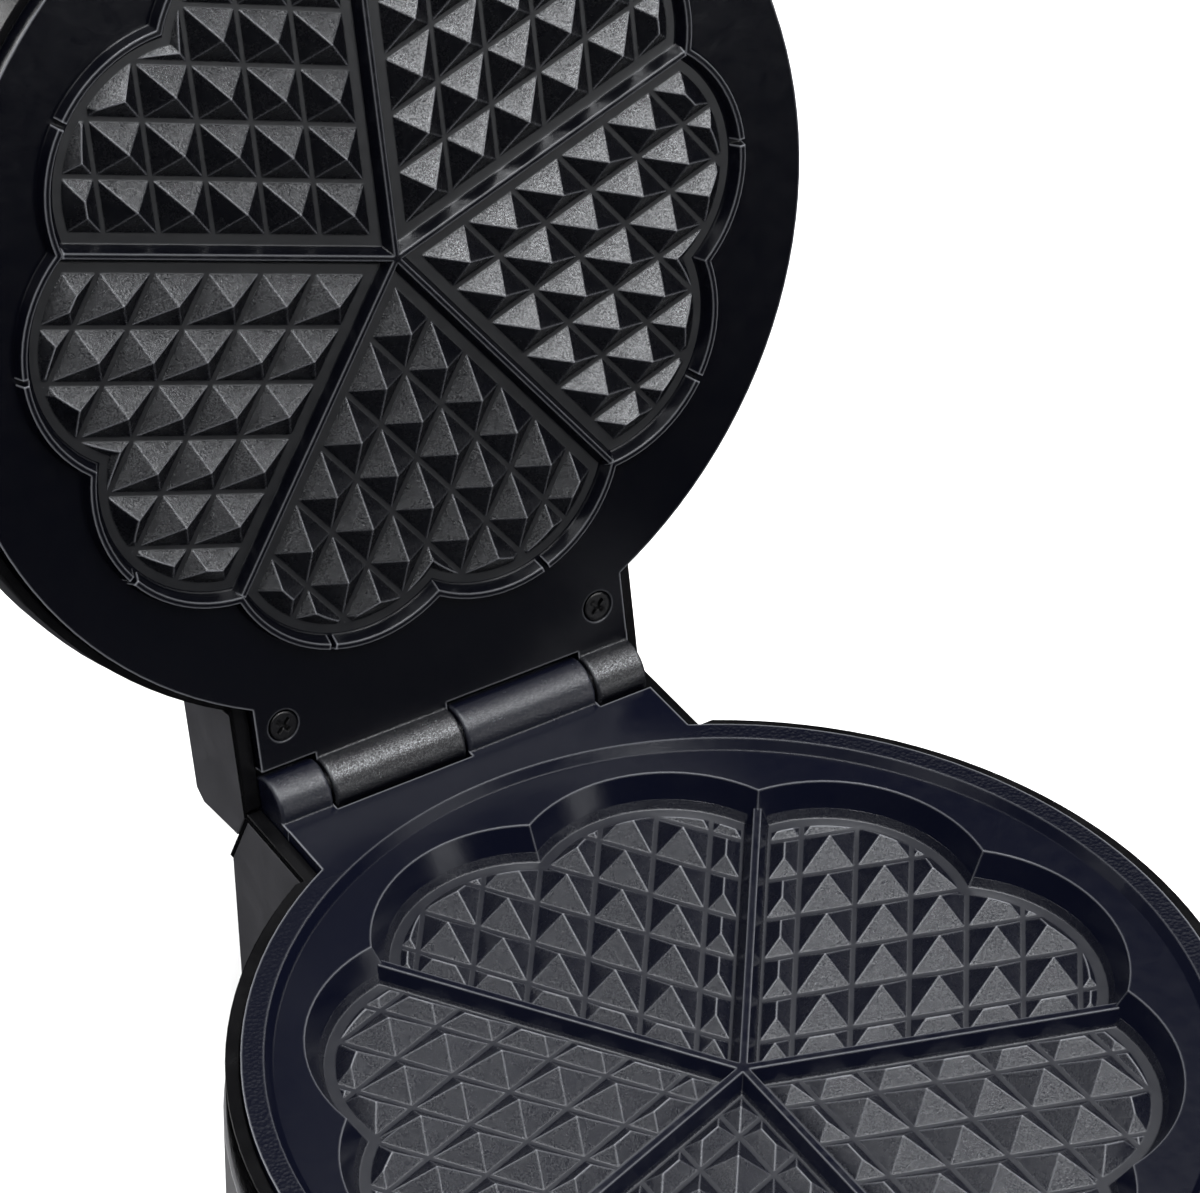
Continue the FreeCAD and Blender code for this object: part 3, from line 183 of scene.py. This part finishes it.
def plate_finish(name, glint, wall_shine, dark, painted_edge_highlight, **places):
    """Black non-stick coating over a die casting; the places are what plate_masks needs.

    The waffle facets and the hinge barrels are sandy, the spokes are polished, the flat ground is smooth
    and the rim is grained like leather. Outer edges are painted paler, as a painted highlight along each
    edge.
    """
    g = Graph(name)
    facet, ground, spoke, wall, barrel, rim = plate_masks(g, **places)
    grain = g.noise(2500.0, 3.0, 0.7)
    leather = g.add("ShaderNodeTexVoronoi", Scale=1100.0)
    g.link(g.place(), "Object", leather, "Vector")
    cloud = g.noise(240.0, 4.0, 0.6)
    wave = g.noise(130.0, 2.0, 0.5)
    # Painted highlight: the base colour turns paler along outer edges, found by the inside occlusion mask.
    edge = g.edges(0.0005)
    tone = g.ramp(edge, "Result", ((0.0, dark), (1.0, painted_edge_highlight)))
    g.link(tone, "Color", g.shader, "Base Color")
    patchy = g.span(cloud, "Fac", 0.18, 0.24, 0.3, 0.7)
    rough = g.tally((patchy, "Result"), (facet, 0.06), (barrel, 0.04), (ground, 0.15), (rim, 0.1))
    g.link(*rough, g.shader, "Roughness")
    sparkle = g.span(grain, "Fac", 0.0, glint, 0.38, 0.62)
    sparkling = g.tally(facet, (barrel, 0.8))
    sheen = g.tally(0.3, (ground, 0.55), (rim, -0.1), (wall, wall_shine))
    sheen = g.math("MULTIPLY_ADD", (sparkle, "Result"), sparkling, sheen)
    g.link(*sheen, g.shader, "Specular IOR Level")
    sand = g.math("MULTIPLY", (grain, "Fac"), g.tally(0.1, (facet, 0.9), (barrel, 0.55)))
    hide = g.math("MULTIPLY", (leather, "Distance"), rim)
    dents = g.math("MULTIPLY", (wave, "Fac"), g.math("ADD", spoke, 0.25))
    g.put(Specular_Tint=(0.95, 0.97, 1.0, 1.0))
    g.bumps((*dents, 0.4, 0.0008), (*hide, 0.4, 0.0003), (*sand, 0.5, 0.00028), rounding=0.0006)
    return g.material


def moulding(name, dark, pale, rough, grain_scale=2600.0, depth=0.00008, rounding=0.0006, shine=0.5):
    """Moulded plastic or rubber, or dull black metal, with a fine grain and a cloudy tone."""
    g = Graph(name)
    grain = g.noise(grain_scale, 3.0, 0.55)
    cloud = g.noise(120.0, 3.0, 0.5)
    tone = g.ramp(cloud, "Fac", ((0.3, dark), (0.7, pale)))
    g.link(tone, "Color", g.shader, "Base Color")
    ready = g.span(cloud, "Fac", rough - 0.05, rough + 0.06, 0.3, 0.7)
    g.link(ready, "Result", g.shader, "Roughness")
    g.put(Specular_IOR_Level=shine)
    g.bumps((grain, "Fac", 0.3, depth), rounding=rounding)
    return g.material


def steel(name, color, rough, stretch=(1.0, 60.0, 60.0), depth=0.00003):
    """Brushed metal, whose lines run along X; a stretch of 1 all ways leaves it plain.

    It is partly diffuse, because the studio has little but lights for it to mirror.
    """
    g = Graph(name)
    lines = g.noise(900.0, 4.0, 0.6, stretch)
    cloud = g.noise(40.0, 3.0, 0.5)
    tone = g.ramp(lines, "Fac", ((0.3, [c * 0.82 for c in color]), (0.7, color)))
    g.link(tone, "Color", g.shader, "Base Color")
    ready = g.span(cloud, "Fac", rough - 0.04, rough + 0.08, 0.3, 0.7)
    g.link(ready, "Result", g.shader, "Roughness")
    g.put(Metallic=0.6)
    g.bumps((lines, "Fac", 0.25, depth), rounding=0.0003)
    return g.material


def lens(name, color):
    """Tinted clear plastic."""
    g = Graph(name)
    cloud = g.noise(300.0, 2.0, 0.5)
    tone = g.ramp(cloud, "Fac", ((0.2, [c * 0.8 for c in color]), (0.8, color)))
    g.link(tone, "Color", g.shader, "Base Color")
    ready = g.span(cloud, "Fac", 0.08, 0.16, 0.3, 0.7)
    g.link(ready, "Result", g.shader, "Roughness")
    g.put(Transmission_Weight=0.6, IOR=1.5)
    g.bumps((cloud, "Fac", 0.1, 0.0001))
    return g.material


finishes = {
    "housing": moulding("housing", (0.027, 0.027, 0.03), (0.034, 0.034, 0.038), 0.34),
    "black_trim": moulding("black_trim", (0.0015, 0.0015, 0.0018), (0.003, 0.003, 0.0034), 0.24, shine=0.16),
    "grip": moulding("grip", (0.009, 0.009, 0.01), (0.014, 0.014, 0.015), 0.45, 1500.0, 0.00015),
    "steel_skin": steel("steel_skin", (0.27, 0.27, 0.28), 0.36),
    "element": steel("element", (0.32, 0.31, 0.3), 0.42, (1.0, 1.0, 1.0)),
    "sheet": steel("sheet", (0.78, 0.78, 0.79), 0.3, (1.0, 40.0, 40.0)),
    "screw_steel": steel("screw_steel", (0.56, 0.56, 0.56), 0.3, (1.0, 1.0, 1.0)),
    "black_screw": moulding("black_screw", (0.0015, 0.0015, 0.002), (0.003, 0.003, 0.0035), 0.22, 1800.0),
    "rubber": moulding("rubber", (0.018, 0.018, 0.018), (0.03, 0.03, 0.03), 0.72, 1800.0, 0.0002),
    "insulator": moulding("insulator", (0.62, 0.59, 0.52), (0.7, 0.67, 0.6), 0.4),
    "red_glass": lens("red_glass", (0.75, 0.03, 0.02)),
    "green_glass": lens("green_glass", (0.03, 0.55, 0.1)),
    "pointer": moulding("pointer", (0.78, 0.78, 0.76), (0.85, 0.85, 0.83), 0.35),
}
slots = {entry["node"]: entry["material_slot"] for entry in record["subparts"]}

# The plates' own frames are placed from the hinge line, round which the lid stands open by 102.7 degrees.
hinge_y, hinge_z = next(joint["pos_m"] for joint in frame["joints"] if joint["name"] == "lid_hinge")[1:]
base_shift = (0.0, hinge_back - hinge_y, -hinge_z)
lid_turn = math.radians(102.7)
lid_shift = (
    0.0,
    hinge_back - hinge_y * math.cos(lid_turn) + hinge_z * math.sin(lid_turn),
    -hinge_y * math.sin(lid_turn) - hinge_z * math.cos(lid_turn),
)
plate_finishes = {
    "lower_plate": plate_finish(
        "lower_coating", turn=0.0, shift=base_shift, field_edge=0.0325, spoke_half=0.0022,
        rim_start=0.0983, glint=0.5, wall_shine=-0.12,
        dark=(0.0016, 0.0020, 0.0056), painted_edge_highlight=(0.15, 0.155, 0.17),
    ),
    "upper_plate": plate_finish(
        "upper_coating", turn=lid_turn, shift=lid_shift, field_edge=0.0295, spoke_half=0.0018,
        rim_start=1.0, glint=1.0, wall_shine=0.0,
        dark=(0.0008, 0.0009, 0.0020), painted_edge_highlight=(0.11, 0.113, 0.125),
    ),
}

for name, obj in frame["nodes"].items():
    obj.data.materials.clear()
    obj.data.materials.append(plate_finishes[name] if name in plate_finishes else finishes[slots[name]])


# ------------------------------------------------------------------------- the room
def stage_plane(name, size, z, material):
    """A level square that isn't part of the object."""
    mesh = bpy.data.meshes.new(name)
    half = 0.5 * size
    corners = [(-half, -half, z), (half, -half, z), (half, half, z), (-half, half, z)]
    mesh.from_pydata(corners, [], [(0, 1, 2, 3)])
    mesh.materials.append(material)
    obj = bpy.data.objects.new(name, mesh)
    scene.collection.objects.link(obj)
    return obj


def floor_finish():
    g = Graph("floor")
    mottle = g.noise(3.0, 4.0, 0.5)
    tone = g.ramp(mottle, "Fac", ((0.3, 0.86), (0.7, 0.9)))
    g.link(tone, "Color", g.shader, "Base Color")
    ready = g.span(mottle, "Fac", 0.7, 0.8, 0.3, 0.7)
    g.link(ready, "Result", g.shader, "Roughness")
    g.bumps((g.noise(800.0), "Fac", 0.1, 0.0002))
    return g.material


# The black plates mirror only the lights: the floor and the world are left out of reflections.
floor = stage_plane("floor", 14.0, 0.0, floor_finish())
floor.visible_glossy = False

world = bpy.data.worlds.new("studio")
world.use_nodes = True
background = world.node_tree.nodes["Background"]
background.inputs["Color"].default_value = (1.0, 1.0, 1.0, 1.0)
background.inputs["Strength"].default_value = 1.0
world.cycles_visibility.glossy = False
scene.world = world

aim = Vector((0.0, 0.03, 0.12))


def soft_light(name, heading, height, power, distance=2.6, size=1.0):
    """A round soft box that faces the object.

    Its heading turns from +X towards +Y and its height is the angle above the level, both in degrees.
    """
    across = math.cos(math.radians(height))
    direction = Vector((
        math.cos(math.radians(heading)) * across,
        math.sin(math.radians(heading)) * across,
        math.sin(math.radians(height)),
    ))
    data = bpy.data.lights.new(name, "AREA")
    data.shape = "DISK"
    data.size = size
    data.energy = power
    obj = bpy.data.objects.new(name, data)
    obj.location = aim + direction * distance
    obj.rotation_mode = "QUATERNION"
    obj.rotation_quaternion = (-direction).to_track_quat("-Z", "Y")
    scene.collection.objects.link(obj)
    return obj


# One light overhead, then a high, a middle and a low ring; each light is (heading, power in watts).
soft_light("top", 90.0, 84.0, 50.0)
for ring, height, lights in (
    ("high", 58.0, ((-90.0, 32.5), (-45.0, 34.0), (0.0, 6.0), (45.0, 5.0), (180.0, 15.0))),
    ("middle", 33.0, ((-165.0, 4.5), (-135.0, 4.5), (-45.0, 6.0), (15.0, 9.5), (135.0, 11.0))),
    ("low", 8.0, ((-60.0, 10.0), (120.0, 20.0))),
):
    for number, (heading, power) in enumerate(lights):
        soft_light(f"{ring}_{number}", heading, height, power)


# ----------------------------------------------------------------------- the camera
camera_target = Vector((-0.01041, 0.02556, 0.15687))
camera_distance = 1.0
azimuth, elevation, roll = math.radians(-33.53), math.radians(38.4), math.radians(1.64)
ahead = Vector((
    -math.sin(azimuth) * math.cos(elevation), math.cos(azimuth) * math.cos(elevation), -math.sin(elevation)
))
right = ahead.cross(Vector((0.0, 0.0, 1.0))).normalized()
above = right.cross(ahead)
side = right * math.cos(roll) + above * math.sin(roll)
top = above * math.cos(roll) - right * math.sin(roll)
lens_data = bpy.data.cameras.new("camera")
lens_data.sensor_width = 36.0
lens_data.lens = 151.5
lens_data.clip_start = 0.05
lens_data.clip_end = 50.0
camera = bpy.data.objects.new("camera", lens_data)
facing = Matrix((side, top, -ahead)).transposed().to_4x4()
camera.matrix_world = Matrix.Translation(camera_target - ahead * camera_distance) @ facing
scene.collection.objects.link(camera)
scene.camera = camera
scene.view_settings.view_transform = "Standard"
